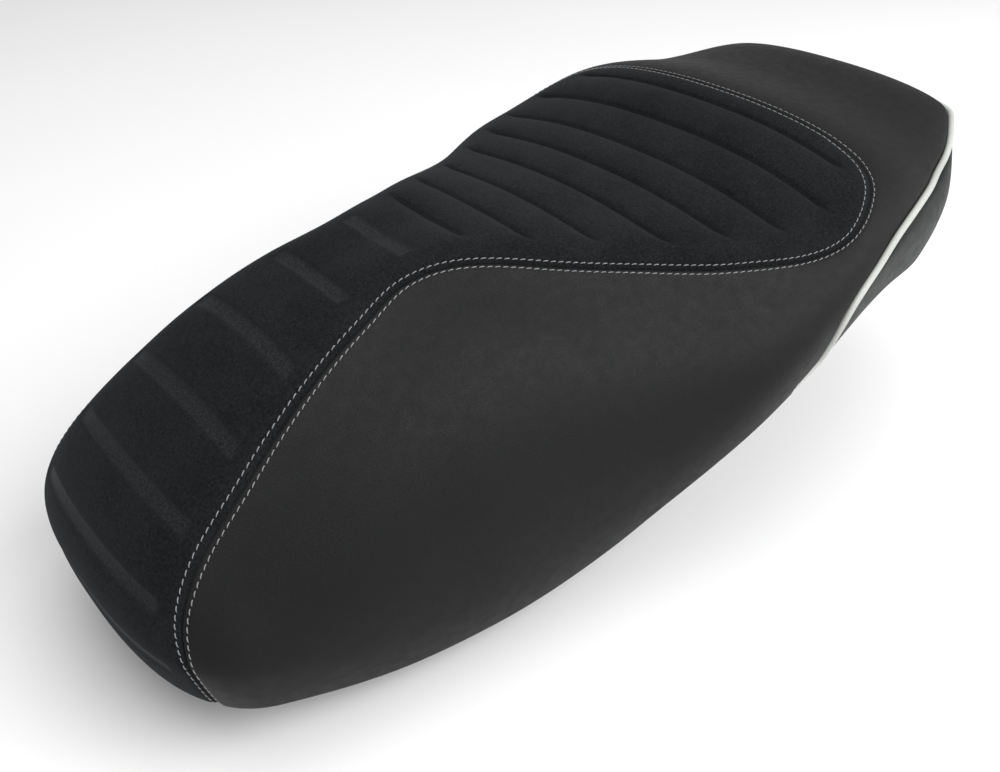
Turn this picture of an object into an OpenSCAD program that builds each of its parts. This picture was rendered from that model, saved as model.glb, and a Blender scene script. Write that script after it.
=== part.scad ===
// Two-person scooter seat: moulded foam on a plastic pan under a sewn cover, hinged at the nose
// and latched at the tail. X points to the nose, Y to the rider's left, Z up. The origin is under
// the middle of the closed seat, level with the lowest point of its rim.

/* [Overall] */
// Overall length, nose to tail
seat_length = 700; // [694:1:706]
// Overall width at the rider's hips
seat_width = 367; // [361:1:373]

/* [Cover] */
// Thickness of the centre panel
centre_skin = 1.5; // [1.2:0.1:1.5]
// Thickness of the wadding that the pleats are sewn into
wadding = 3; // [2:0.5:3]
// Thickness of the sponge-backed side leather
side_skin = 3; // [2:0.5:3]
// Diameter of the piping at the tail
piping_diameter = 6.4; // [5:0.2:6.4]
// Width of the hem strip that is turned under the pan
hem_width = 15; // [13:1:16]

/* [Pan] */
// Wall thickness of the moulded pan
pan_wall = 3; // [2.5:0.5:3]
// Height of the pan's deck above the rim
deck_rise = 24; // [22:1:26]
// Extra height of the deck over the hinge
nose_rise = 22; // [21:1:23]
// Depth of the ribs under the deck
rib_depth = 6; // [4:1:6]

/* [Hinge] */
// Distance from the middle of the seat to the hinge pin
pin_x = 300; // [296:1:302]
// Height of the hinge pin
pin_z = 20; // [19:1:21]
// Diameter of the hinge pin
pin_diameter = 8; // [8:1:8]
// Radial clearance between the pin and its bushes
bush_clearance = 0.05; // [0.02:0.01:0.1]
// Thickness of the hinge's pressed steel
hinge_steel = 3; // [2.5:0.5:3]
// Spacing of the two frame bolts across the seat
frame_bolt_spacing = 78; // [74:1:80]
// Diameter of the holes for the frame bolts
frame_bolt_hole = 6.6; // [6.4:0.2:7]

/* [Latch] */
// Distance from the middle of the seat back to the striker
striker_x = -215; // [-218:1:-212]
// Diameter of the striker's round bar
striker_bar = 8; // [7:1:8]
// Bend radius of the striker's loop, at the middle of the bar
striker_bend = 15; // [14:1:16]

/* [Hidden] */

half = seat_length / 2;
wide = seat_width / 367;
gap = 0.3;

// Side view and plan, as [x, value] points that a smooth curve joins
TOP = [[-350, 213], [-265, 209], [-180, 219], [-95, 199], [-10, 194], [75, 203], [160, 205],
    [245, 210], [350, 208]];
WIDTH = [[-350, 106], [-255, 161], [-150, 178], [-45, 183], [55, 161], [160, 145], [255, 128],
    [350, 105]];
BELT = [[-350, 190], [-265, 158], [-170, 156], [-57, 118], [76, 49], [208, 33], [350, 63]];
RIM = [[-350, 152], [-265, 119], [-170, 121], [-57, 87], [76, 17], [208, 0.3], [350, 27]];
PIPING = [[-350, 193], [-300, 183], [-240, 180], [-200, 177], [-170, 169], [-140, 155],
    [-115, 141], [-103, 128], [-95, 113], [-88, 98]];

// Left half of the seam round the centre panel, nose to tail: [distance along the top, half width]
SEAM = [[405, 95], [372, 96], [345, 85], [315, 75], [270, 67], [225, 57], [180, 48], [143, 42],
    [105, 51], [60, 74], [10, 100], [-40, 131], [-90, 154], [-130, 161], [-164, 149],
    [-179, 129], [-184, 98]];
last = len(SEAM) - 1;
// Where the side panel's lower edge lies, for points along the seam: [seam point, x]
EDGE = [[0, 312], [3, 280], [7, 150], [10, 20], [13, -130], [15, -262], [16, -335]];

// Roundings of the two ends: [start, exponent]
nose_plan = [297, 2.73];
nose_side = [110, 1.73];
tail_plan = [333, 3.3];
tail_side = [300, 2.5];
// How far the skirt tucks in from its widest line to the rim: sides, nose, tail, and its exponent
tuck_side = 5.5;
tuck_nose = 7;
tuck_tail = 10;
tuck_power = 1.7;
// Centre of the fan of directions that follows the nose round
fan_x = 240;
fan_z = 62;
fan_end = 405;

// --- curves ---------------------------------------------------------------------------------
function clamp(v, low, high) = min(max(v, low), high);
function mix(a, b, w) = a + (b - a) * w;
function slope(t, i) =
    let (a = max(i - 1, 0), b = min(i + 1, len(t) - 1)) (t[b][1] - t[a][1]) / (t[b][0] - t[a][0]);
function span(t, x, i = 0) = i >= len(t) - 2 || x < t[i + 1][0] ? i : span(t, x, i + 1);
function hermite(a, b, ta, tb, u) =
    (2 * u * u * u - 3 * u * u + 1) * a + (u * u * u - 2 * u * u + u) * ta
    + (3 * u * u - 2 * u * u * u) * b + (u * u * u - u * u) * tb;
function curve(t, x) =
    let (i = span(t, x), h = t[i + 1][0] - t[i][0], u = clamp((x - t[i][0]) / h, 0, 1))
    hermite(t[i][1], t[i + 1][1], slope(t, i) * h, slope(t, i + 1) * h, u);
// A point on the seam, s running from 0 at the nose to the last point at the tail
function seam_tangent(i) = (SEAM[min(i + 1, last)] - SEAM[max(i - 1, 0)]) / (min(i + 1, last) - max(i - 1, 0));
function seam(s) =
    let (i = min(floor(s), last - 1))
    hermite(SEAM[i], SEAM[i + 1], seam_tangent(i), seam_tangent(i + 1), s - i);
function fade(x, start, finish, power) =
    pow(1 - pow(clamp((x - start) / (finish - start), 0, 1), power), 1 / power);

// --- the outer surface, moved inwards by t ----------------------------------------------------
function along(x) = x * 350 / half;
function belt(x) = curve(BELT, along(x));
function rim(x) = curve(RIM, along(x));
function half_width(x, t) =
    (curve(WIDTH, along(x)) * wide - t) * fade(along(x), nose_plan[0], 350 - t, nose_plan[1])
    * fade(-along(x), tail_plan[0], 350 - t, tail_plan[1]);
function crown(x, t) =
    (curve(TOP, along(x)) - belt(x) - t) * fade(along(x), nose_side[0], 350 - t, nose_side[1])
    * fade(-along(x), tail_side[0], 350 - t, tail_side[1]);
function low_width(x, q, t) =
    half_width(x > 0 ? x * 350 / (350 - tuck_nose * q) : x * 350 / (350 - tuck_tail * q), t)
    - tuck_side * q;
function round_side(x) = 2.1 - 0.2 * x / half - 0.3 * x * x / half / half;
function inside_top(p, t) =
    let (w = half_width(p[0], t), h = crown(p[0], t))
    w > 0.01 && h > 0.01
    && pow(abs(p[1]) / w, 2.3) + pow((p[2] - belt(p[0])) / h, round_side(p[0])) < 1;
function inside_skirt(p, t) =
    let (b = belt(p[0]), q = pow((b - p[2]) / (b - rim(p[0])), tuck_power))
    abs(p[1]) < low_width(p[0], min(q, 1), t);
function inside(p, t) =
    abs(p[0]) < half && (p[2] >= belt(p[0]) ? inside_top(p, t) : inside_skirt(p, t));
// Where the line from o along d leaves the surface
function leave(o, d, t, low, high, n) =
    n == 0 ? o + d * low
    : let (m = (low + high) / 2) inside(o + d * m, t) ? leave(o, d, t, m, high, n - 1)
    : leave(o, d, t, low, m, n - 1);
function hit(o, d, t) = leave(o, d / norm(d), t, 0, 420, 16);
function rim_x(y, low = 240, high = 350, n = 12) =
    n == 0 ? low
    : let (m = (low + high) / 2) abs(y) < low_width(m, 1, 0) ? rim_x(y, m, high, n - 1)
    : rim_x(y, low, m, n - 1);

// --- places on the surface ----------------------------------------------------------------------
// The centre panel: s is the distance along the top, which fans down round the nose
function fan_angle(s, y, t) =
    let (x = rim_x(y), z = rim(x) + t)
    90 - (s - fan_x) / (fan_end - fan_x) * (90 - atan2(z - fan_z, x - fan_x));
function top_from(s, y) = s <= fan_x ? [s, y, belt(s) + 2] : [fan_x, y, fan_z];
function top_way(s, y, t) =
    s <= fan_x ? [0, 0, 1] : let (a = fan_angle(s, y, t)) [cos(a), 0, sin(a)];
function top_point(s, y, t) = hit(top_from(s, y), top_way(s, y, t), t);
// The skirt: a level line from the spine through a point [x, y] of the plan, at height z
function spine(x) = [clamp(x, -235, 225), 0];
function side_way(p) = [p[0] - spine(p[0])[0], p[1], 0];
function side_point(p, z, t) = hit([spine(p[0])[0], 0, z], side_way(p), t);
function plan_left(x) = [x, half_width(x, 0)];
function plan_tail(y) =
    [-half + (350 - tail_plan[0]) * (1 - fade(abs(y), 0, half_width(-334, 0), tail_plan[1])), y];
function piping_z(x) = curve(PIPING, along(x));

// --- shells ------------------------------------------------------------------------------------
// A closed skin between two grids of points of the same size
function cell(a, b, c, d) = [[c, b, a], [d, c, a]];
function flip(faces) = [for (f = faces) [f[2], f[1], f[0]]];
function skin_faces(m, n) =
    let (
        top = [for (i = [0 : m - 2], j = [0 : n - 2]) each
            cell(i * n + j, i * n + j + 1, (i + 1) * n + j + 1, (i + 1) * n + j)],
        under = [for (f = flip(top)) [f[0] + m * n, f[1] + m * n, f[2] + m * n]],
        k = m * n,
        first = [for (j = [0 : n - 2]) each cell(j + 1, j, k + j, k + j + 1)],
        final = [for (j = [0 : n - 2]) each
            cell((m - 1) * n + j, (m - 1) * n + j + 1, k + (m - 1) * n + j + 1, k + (m - 1) * n + j)],
        left = [for (i = [0 : m - 2]) each cell(i * n, (i + 1) * n, k + (i + 1) * n, k + i * n)],
        right = [for (i = [0 : m - 2]) each
            cell((i + 2) * n - 1, (i + 1) * n - 1, k + (i + 1) * n - 1, k + (i + 2) * n - 1)]
    ) concat(top, under, first, final, left, right);
function flat(grid) = [for (row = grid) each row];
module skin(outer, inner) {
    polyhedron(concat(flat(outer), flat(inner)), skin_faces(len(outer), len(outer[0])));
}

// --- cover ---------------------------------------------------------------------------------------
centre_steps = [0 : 0.5 : last];
across = [for (a = [-90 : 15 : 90]) sin(a)];
function centre_grid(steps, t, margin) =
    [for (k = steps) let (p = seam(k)) [for (v = across) top_point(p[0], v * (p[1] - margin), t)]];
module centre_panel() {
    color("#26292c") skin(
        centre_grid(centre_steps, 0, gap),
        centre_grid(centre_steps, centre_skin, gap)
    );
}
wadding_margin = 1.5;
// The wadding stops short of the rim, where the hem and the pan's flange are
module pleat_backing() {
    steps = [1.5 : 0.5 : last];
    outside = centre_skin + gap;
    color("#d9d6cc") skin(
        centre_grid(steps, outside, wadding_margin),
        centre_grid(steps, outside + wadding, wadding_margin)
    );
}

piping_start = -88;
// Height from the middle of the piping to the edges of the panels on either side of it
function seam_room(x) =
    let (rise = (piping_z(x + 1) - piping_z(x - 1)) / 2) (piping_diameter / 2 + 2 * gap) * norm([1, rise]);
function edge_z(x) =
    let (low = rim(clamp(x, -340, 343)))
    x > piping_start ? low : max(low, piping_z(x) + seam_room(x));
// Each strip of the side panel runs from a seam point [s, y] to a plan point [x, y]
side_steps = concat([for (k = [0 : 0.5 : 11.5]) k], [for (k = [11.75 : 0.125 : 13]) k],
    [for (k = [13.5 : 0.5 : last]) k]);
function left_strips() = [for (k = side_steps)
    let (p = seam(k)) [[p[0], p[1] + gap], plan_left(curve(EDGE, k))]];
function back_strips() = [for (v = [0.75 : -0.25 : -0.75])
    [[SEAM[last][0] - gap, v * (SEAM[last][1] + gap)], plan_tail(v * half_width(-335, 0))]];
function mirrored(strips) = [for (i = [len(strips) - 1 : -1 : 0])
    [[strips[i][0][0], -strips[i][0][1]], [strips[i][1][0], -strips[i][1][1]]]];
function strip(a, b, t) =
    let (
        z = edge_z(b[0]),
        start = top_point(a[0], a[1], 0),
        finish = side_point(b, z, 0),
        from_a = top_from(a[0], a[1]),
        from_b = [spine(b[0])[0], 0, z]
    )
    [for (w = [0 : 1 / 7 : 1.001])
        let (o = mix(from_a, from_b, w)) hit(o, mix(start, finish, w) - o, t)];
module surround_panel() {
    strips = concat(left_strips(), back_strips(), mirrored(left_strips()));
    color("#38393b") skin(
        [for (s = strips) strip(s[0], s[1], 0)],
        [for (s = strips) strip(s[0], s[1], side_skin)]
    );
}

tail_left = [for (x = [-101, -107, -115, -126, -140, -156, -180, -210, -240, -270, -300, -322, -335]) plan_left(x)];
tail_back = [for (v = [0.75 : -0.25 : -0.75]) plan_tail(v * half_width(-335, 0))];
tail_loop = concat(tail_left, tail_back,
    [for (i = [len(tail_left) - 1 : -1 : 0]) [tail_left[i][0], -tail_left[i][1]]]);
function tail_column(p, t) =
    let (top = piping_z(p[0]) - seam_room(p[0]), low = rim(clamp(p[0], -340, 343)))
    [for (w = [0 : 0.2 : 1.001]) side_point(p, mix(top, low, w), t)];
module tail_panel() {
    color("#4c4d50") skin(
        [for (p = tail_loop) tail_column(p, 0)],
        [for (p = tail_loop) tail_column(p, side_skin)]
    );
}

// A round cord swept along points
module cord(points, radius, sides = 8) {
    n = len(points);
    rings = [for (i = [0 : n - 1])
        let (
            d = points[min(i + 1, n - 1)] - points[max(i - 1, 0)],
            along_cord = d / norm(d),
            out = cross(along_cord, [0, 0, 1]) / norm(cross(along_cord, [0, 0, 1])),
            up = cross(out, along_cord)
        )
        [for (a = [0 : 360 / sides : 359]) points[i] + radius * (cos(a) * out + sin(a) * up)]];
    polyhedron(
        flat(rings),
        concat(
            [[for (j = [sides - 1 : -1 : 0]) j]],
            [for (i = [0 : n - 2], j = [0 : sides - 1]) let (k = (j + 1) % sides) each
                cell(i * sides + j, (i + 1) * sides + j, (i + 1) * sides + k, i * sides + k)],
            [[for (j = [0 : sides - 1]) (n - 1) * sides + j]]
        )
    );
}
piping_left = [for (x = [-92, -95, -99, -104, -111, -120, -130, -142, -156, -174, -193, -212, -231, -250, -269,
    -288, -307, -322, -333]) plan_left(x)];
piping_back = [for (v = [0.9 : -0.2 : -0.9]) plan_tail(v * half_width(-335, 0))];
module piping_cord() {
    loop = concat(piping_left, piping_back,
        [for (i = [len(piping_left) - 1 : -1 : 0]) [piping_left[i][0], -piping_left[i][1]]]);
    color("#d4d4d0") cord([for (p = loop) side_point(p, piping_z(p[0]), 0.4)], piping_diameter / 2);
}

// --- foam ------------------------------------------------------------------------------------------
foam_inset = 6.2;
hem_z = 1.2;
hem_skin = 1.4;
flange_z = hem_z + hem_skin + 3 * gap;
foam_z = flange_z + pan_wall + 2 * gap;
foam_angles = [-90 : 10 : 90];
function foam_section(x) =
    let (
        w = half_width(x, foam_inset),
        h = crown(x, foam_inset),
        low = rim(x) + foam_z,
        q = pow((belt(x) - low) / (belt(x) - rim(x)), tuck_power)
    )
    concat(
        [[x, -low_width(x, q, foam_inset), low]],
        [for (a = foam_angles)
            [x, sign(a) * w * pow(abs(sin(a)), 2 / 2.3), belt(x) + h * pow(abs(cos(a)), 2 / round_side(x))]],
        [[x, low_width(x, q, foam_inset), low]]
    );
module foam_block() {
    sections = [for (u = [0 : 5 : 180]) foam_section(3 - 331 * cos(u))];
    m = len(sections);
    n = len(sections[0]);
    polyhedron(
        flat(sections),
        concat(
            [[for (j = [n - 1 : -1 : 0]) j]],
            [for (i = [0 : m - 2], j = [0 : n - 2]) each
                cell(i * n + j, (i + 1) * n + j, (i + 1) * n + j + 1, i * n + j + 1)],
            [for (i = [0 : m - 2]) [i * n, (i + 1) * n, (i + 1) * n + n - 1, i * n + n - 1]],
            [[for (j = [0 : n - 1]) (m - 1) * n + j]]
        )
    );
}
module seat_foam() {
    color("#e3cf8f") difference() {
        foam_block();
        intersection() {
            band(function (x) rim(x) - 20, function (x) deck(x) + gap);
            plug(deck_inset - gap);
        }
    }
}

// --- pan -------------------------------------------------------------------------------------------
pan_inset = 4.5;
deck_inset = 20;
function smooth(u) = let (v = clamp(u, 0, 1)) v * v * (3 - 2 * v);
function deck(x) = rim(x) + deck_rise + nose_rise * smooth((x - 110) / 120);
function nose_end(inset) = 343 - inset;
function tail_end(inset) = 340 - inset;
function pan_half(x, inset) =
    (curve(WIDTH, along(x) * 350 / (x > 0 ? nose_end(0) : tail_end(0))) * wide - tuck_side - inset)
    * fade(along(x), nose_end(inset) - 53, nose_end(inset), nose_plan[1])
    * fade(-along(x), tail_end(inset) - 17, tail_end(inset), tail_plan[1]);
function outline_x(u, inset) =
    mix(-tail_end(inset), nose_end(inset), (1 - cos(u)) / 2) * half / 350;
function outline(inset, step = 5) = concat(
    [for (u = [0 : step : 180]) [outline_x(u, inset), -max(pan_half(outline_x(u, inset), inset), 0)]],
    [for (u = [180 - step : -step : step]) [outline_x(u, inset), pan_half(outline_x(u, inset), inset)]]
);
// Everything inside the pan's outline, moved in by an inset
module plug(inset) {
    translate([0, 0, -50]) linear_extrude(400) polygon(outline(inset));
}
// Everything between two heights that change along the seat
module band(low, high) {
    stations = [for (x = [-345 : 23 : 345]) x * half / 350];
    rotate([90, 0, 0]) linear_extrude(420, center = true) polygon(concat(
        [for (x = stations) [x, low(x)]],
        [for (i = [len(stations) - 1 : -1 : 0]) [stations[i], high(stations[i])]]
    ));
}
BUFFERS = [[262, 80], [20, 118], [-285, 94]];
buffer_radius = 11;
buffer_height = 10;
stem_radius = 5;
stem_length = 10;
boss_half = 9;
function buffer_z(p) = rim(p[0]) + 1.5;

insert_radius = 4.5;
insert_length = 8;
screw_radius = 2.5;
head_radius = 5;
head_height = 3.5;
pad_z = pin_z + 17;
pad_x = [226, 308];
pad_y = 48;
leaf_screws = [for (x = [242, 290], y = [-38, 38]) [x, y]];
striker_z = 132;
striker_pad = [64, 84];
striker_holes = [for (x = [-22, 22], y = [-32, 32]) [striker_x + x, y]];
rib_width = 2.5;

module rib_slabs() {
    for (x = [-270 : 54 : 162]) translate([x, -200, 0]) cube([rib_width, 400, 300]);
    for (y = [-62, 0, 62]) translate([-330, y - rib_width / 2, 0]) cube([530, rib_width, 300]);
}
// A solid block under the deck, from a level underside up into the deck
module deck_block(low_corner, high_corner, z) {
    size = high_corner - low_corner;
    intersection() {
        band(function (x) z, function (x) max(deck(x) - 1, z + 0.5));
        translate([low_corner[0], low_corner[1], 0]) cube([size[0], size[1], 200]);
    }
}
module pan_body() {
    difference() {
        intersection() {
            band(function (x) rim(x) + flange_z, function (x) deck(x));
            plug(pan_inset);
        }
        difference() {
            band(function (x) rim(x) + flange_z + pan_wall, function (x) deck(x) + 60);
            plug(deck_inset);
        }
        intersection() {
            band(function (x) rim(x) - 20, function (x) deck(x) - pan_wall);
            plug(deck_inset + pan_wall);
        }
    }
    intersection() {
        band(function (x) deck(x) - pan_wall - rib_depth, function (x) deck(x) - 1);
        plug(deck_inset + 1);
        rib_slabs();
    }
    deck_block([pad_x[0], -pad_y], [pad_x[1], pad_y], pad_z);
    deck_block([striker_x, 0] - striker_pad / 2, [striker_x, 0] + striker_pad / 2, striker_z);
    for (p = BUFFERS, side = [-1, 1]) let (middle = [p[0], side * p[1]], reach = [boss_half, boss_half])
        deck_block(middle - reach, middle + reach, buffer_z(p) + buffer_height);
}
module base_pan() {
    color("#17181a") difference() {
        pan_body();
        for (p = BUFFERS, side = [-1, 1])
            translate([p[0], side * p[1], buffer_z(p) + buffer_height - 1])
                cylinder(h = stem_length + 1, r = stem_radius, $fn = 48);
        for (p = leaf_screws) translate([p[0], p[1], pad_z - 1])
            cylinder(h = insert_length + 1, r = insert_radius, $fn = 48);
        for (p = striker_holes) translate([p[0], p[1], striker_z - 1])
            cylinder(h = insert_length + 1, r = insert_radius, $fn = 48);
    }
}

// --- hem and staples ---------------------------------------------------------------------------------
hem_inset = side_skin + 0.8;
function hem_point(u, inset, rise) =
    let (x = outline_x(abs(u), inset)) [x, sign(u) * pan_half(x, inset), rim(x) + rise];
module hem_band() {
    loop = [for (u = [-176 : 4 : 180]) u];
    rings = [for (u = loop) [
        hem_point(u, hem_inset, hem_z), hem_point(u, hem_inset, hem_z + hem_skin),
        hem_point(u, hem_inset + hem_width, hem_z + hem_skin), hem_point(u, hem_inset + hem_width, hem_z)
    ]];
    m = len(rings);
    color("#202123") polyhedron(flat(rings), [for (i = [0 : m - 1], j = [0 : 3]) each
        let (a = (i + 1) % m, b = (j + 1) % 4) cell(4 * i + j, 4 * i + b, 4 * a + b, 4 * a + j)]);
}
staple_inset = hem_inset + hem_width / 2;
module staple() {
    translate([-5, -0.45, 0]) cube([10, 0.9, 0.8]);
    for (x = [-5, 4.1]) translate([x, -0.45, 0.4]) cube([0.9, 0.9, 4]);
}
function rim_pitch(x) = -atan2(rim(x + 1) - rim(x - 1), 2);
module place_staple(x, y, turn) {
    translate([x, y, rim(x) + 0.2]) rotate([0, rim_pitch(x), 0]) rotate([0, 0, turn]) staple();
}
module cover_staples() {
    color("#b9bcc0") {
        for (x = [-300 : 40 : 260], side = [-1, 1])
            place_staple(x, side * pan_half(x, staple_inset),
                side * atan2(pan_half(x + 1, staple_inset) - pan_half(x - 1, staple_inset), 2));
        for (y = [-60 : 30 : 60]) {
            place_staple(nose_end(staple_inset) - 1, y, 90);
            place_staple(-tail_end(staple_inset) + 0.5, y, 90);
        }
    }
}

// --- buffers -------------------------------------------------------------------------------------------
module buffer(index, side) {
    p = BUFFERS[index];
    color("#1b1b1b") translate([p[0], side * p[1], buffer_z(p)]) {
        cylinder(h = buffer_height, r = buffer_radius, $fn = 48);
        translate([0, 0, buffer_height - 1]) cylinder(h = stem_length, r = stem_radius, $fn = 48);
    }
}
module buffer_front_left() { buffer(0, 1); }
module buffer_front_right() { buffer(0, -1); }
module buffer_middle_left() { buffer(1, 1); }
module buffer_middle_right() { buffer(1, -1); }
module buffer_rear_left() { buffer(2, 1); }
module buffer_rear_right() { buffer(2, -1); }

// --- hinge ---------------------------------------------------------------------------------------------
pin_radius = pin_diameter / 2;
knuckle_radius = 9;
base_ear_y = 24;
leaf_ear_y = 29;
bush_radius = 5.5;
bush_flange = 1.5;
// An ear of pressed steel: a flat outline in side view with a round knuckle on the pin
module ear(outline_points, y, thickness) {
    translate([0, y + thickness, 0]) rotate([90, 0, 0]) linear_extrude(thickness) polygon(outline_points);
    translate([pin_x, y, pin_z]) rotate([-90, 0, 0]) cylinder(h = thickness, r = knuckle_radius, $fn = 64);
}
module across_pin(y, length, radius) {
    translate([pin_x, y, pin_z]) rotate([-90, 0, 0]) cylinder(h = length, r = radius, $fn = 64);
}
module hinge_seat_leaf() {
    outline_points = [[pin_x - 32, pad_z - 1], [pin_x + 6, pad_z - 1], [pin_x + 8.9, pin_z + 1],
        [pin_x - 7.5, pin_z - 5]];
    color("#2c2f33") difference() {
        union() {
            translate([230, -46, pad_z - hinge_steel]) cube([76, 92, hinge_steel]);
            ear(outline_points, leaf_ear_y, hinge_steel);
            ear(outline_points, -leaf_ear_y - hinge_steel, hinge_steel);
        }
        across_pin(-60, 120, bush_radius);
        for (p = leaf_screws) translate([p[0], p[1], 0]) cylinder(h = 60, r = screw_radius + 0.3, $fn = 32);
    }
}
module hinge_base_bracket() {
    outline_points = [[238, 0.5], [284, 0.5], [pin_x + 6, pin_z - 6.7], [pin_x - 3, pin_z + 8.4],
        [pin_x - 10, pin_z + 4.5], [250, 2]];
    color("#8e9296") difference() {
        union() {
            translate([232, -50, 0]) cube([54, 100, hinge_steel]);
            ear(outline_points, base_ear_y, hinge_steel);
            ear(outline_points, -base_ear_y - hinge_steel, hinge_steel);
        }
        across_pin(-60, 120, pin_radius);
        for (side = [-1, 1]) translate([256, side * frame_bolt_spacing / 2, -5])
            cylinder(h = 20, r = frame_bolt_hole / 2, $fn = 48);
    }
}
// A flanged nylon bush in one of the seat leaf's ears, opening towards the middle of the hinge
module bush() {
    flange_y = leaf_ear_y - bush_flange - 0.05;
    color("#e8e6df") difference() {
        union() {
            across_pin(flange_y, bush_flange, 8);
            across_pin(flange_y, leaf_ear_y + hinge_steel + 0.5 - flange_y, bush_radius);
        }
        across_pin(0, 60, pin_radius + bush_clearance);
    }
}
module hinge_bush_left() { bush(); }
module hinge_bush_right() { mirror([0, 1, 0]) bush(); }
pin_head_y = leaf_ear_y + hinge_steel + 1;
groove_y = -pin_head_y - 0.6;
groove_width = 1;
groove_radius = 3.1;
module hinge_pin() {
    color("#a9adb2") {
        across_pin(groove_y, pin_head_y - groove_y, pin_radius);
        across_pin(groove_y - groove_width - 0.1, groove_width + 0.2, groove_radius);
        across_pin(groove_y - groove_width - 2, 2, pin_radius);
        across_pin(pin_head_y, 2.5, 6.5);
    }
}
module hinge_pin_clip() {
    color("#55585c") difference() {
        across_pin(groove_y - groove_width + 0.05, groove_width - 0.1, 7);
        across_pin(groove_y - 5, 10, groove_radius);
        translate([pin_x - groove_radius, groove_y - 5, pin_z - 10]) cube([2 * groove_radius, 10, 10]);
    }
}
module inserts(places, z) {
    for (p = places) translate([p[0], p[1], z]) difference() {
        cylinder(h = insert_length, r = insert_radius, $fn = 48);
        translate([0, 0, -1]) cylinder(h = insert_length + 2, r = screw_radius, $fn = 48);
    }
}
// Hexagon-headed screws pointing up, with their heads under a steel plate
module screws(places, z) {
    for (p = places) translate([p[0], p[1], z]) {
        translate([0, 0, -hinge_steel - head_height]) cylinder(h = head_height, r = head_radius, $fn = 6);
        translate([0, 0, -hinge_steel - 1]) cylinder(h = hinge_steel + insert_length, r = screw_radius, $fn = 48);
    }
}
module hinge_leaf_screws() { color("#9da1a6") screws(leaf_screws, pad_z); }
module hinge_leaf_inserts() { color("#b5934f") inserts(leaf_screws, pad_z); }

// --- latch ---------------------------------------------------------------------------------------------
module striker_plate() {
    color("#8e9296") difference() {
        translate([striker_x - 30, -40, striker_z - hinge_steel]) cube([60, 80, hinge_steel]);
        for (p = striker_holes) translate([p[0], p[1], striker_z - 10])
            cylinder(h = 20, r = screw_radius + 0.3, $fn = 32);
    }
}
leg_length = 24;
module striker_loop() {
    bar = striker_bar / 2;
    top = striker_z - hinge_steel;
    color("#a9adb2") translate([striker_x, 0, top - leg_length]) {
        for (side = [-1, 1]) translate([0, side * striker_bend, 0]) cylinder(h = leg_length, r = bar, $fn = 48);
        rotate([0, 90, 0]) rotate([0, 0, -90]) rotate_extrude(angle = 180, $fn = 48)
            translate([striker_bend, 0]) circle(r = bar, $fn = 32);
    }
}
module striker_screws() { color("#9da1a6") screws(striker_holes, striker_z); }
module striker_inserts() { color("#b5934f") inserts(striker_holes, striker_z); }

centre_panel();
surround_panel();
tail_panel();
piping_cord();
pleat_backing();
seat_foam();
base_pan();
hem_band();
cover_staples();
buffer_front_left();
buffer_front_right();
buffer_middle_left();
buffer_middle_right();
buffer_rear_left();
buffer_rear_right();
hinge_seat_leaf();
hinge_bush_left();
hinge_bush_right();
hinge_leaf_screws();
hinge_leaf_inserts();
hinge_base_bracket();
hinge_pin();
hinge_pin_clip();
striker_plate();
striker_loop();
striker_screws();
striker_inserts();
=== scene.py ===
"""Looks of the two-person scooter seat: sewn cover, stitches, piping, hem, foam and hardware.

The shape functions work in millimetres, in the frame of the CAD model, and every mesh is turned
into metres when it is made.
"""

import math

import bpy
import numpy as np
from mathutils import Matrix, Vector
from mathutils.bvhtree import BVHTree
from mathutils.kdtree import KDTree


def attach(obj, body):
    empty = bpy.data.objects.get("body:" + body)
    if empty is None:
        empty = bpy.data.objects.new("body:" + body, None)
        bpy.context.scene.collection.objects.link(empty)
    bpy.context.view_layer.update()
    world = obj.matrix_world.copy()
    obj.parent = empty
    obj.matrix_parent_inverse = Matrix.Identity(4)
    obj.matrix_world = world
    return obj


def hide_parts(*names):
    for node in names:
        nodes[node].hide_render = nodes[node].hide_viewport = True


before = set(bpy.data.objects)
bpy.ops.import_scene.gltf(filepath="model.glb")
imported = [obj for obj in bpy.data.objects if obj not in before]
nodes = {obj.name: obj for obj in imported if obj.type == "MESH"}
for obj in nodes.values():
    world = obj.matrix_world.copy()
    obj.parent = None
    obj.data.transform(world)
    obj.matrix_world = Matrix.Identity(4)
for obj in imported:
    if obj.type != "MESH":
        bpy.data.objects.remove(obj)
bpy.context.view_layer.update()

MM = 0.001
BODY = "seat"

# --- camera ------------------------------------------------------------------------------------
CAMERA_PLACE = Vector((0.4157, 0.4422, 0.4778))
CAMERA_FORWARD = Vector((-0.5224, -0.6096, -0.5962))
CAMERA_UP = Vector((-0.3946, -0.4470, 0.8028))
CAMERA_LENS = 35.15


def make_camera():
    forward = CAMERA_FORWARD.normalized()
    right = forward.cross(CAMERA_UP).normalized()
    up = right.cross(forward)
    data = bpy.data.cameras.new("camera")
    data.lens = CAMERA_LENS
    data.clip_start = 0.01
    camera = bpy.data.objects.new("camera", data)
    axes = Matrix((right, up, -forward)).transposed().to_4x4()
    camera.matrix_world = Matrix.Translation(CAMERA_PLACE) @ axes
    bpy.context.scene.collection.objects.link(camera)
    bpy.context.scene.camera = camera


# --- the seat's outer shape ----------------------------------------------------------------------
HALF = 350.0
# Gap between the panels at the seam
GAP = 0.03
# Top line and half width, as (x, value) points that a smooth curve joins
TOP = [(-350, 213), (-265, 209), (-180, 219), (-95, 199), (-10, 194), (75, 203), (160, 205),
       (245, 210), (350, 208)]
WIDTH = [(-350, 106), (-255, 161), (-150, 178), (-45, 183), (55, 161), (160, 145), (255, 128),
         (350, 105)]
# Heights of the widest line and of the moulded lower edge
BELT = [(-350, 190), (-265, 158), (-170, 156), (-57, 118), (76, 49), (208, 33), (350, 63)]
RIM = [(-350, 152), (-265, 119), (-170, 121), (-57, 87), (76, 17), (208, 0.3), (350, 27)]
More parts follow.
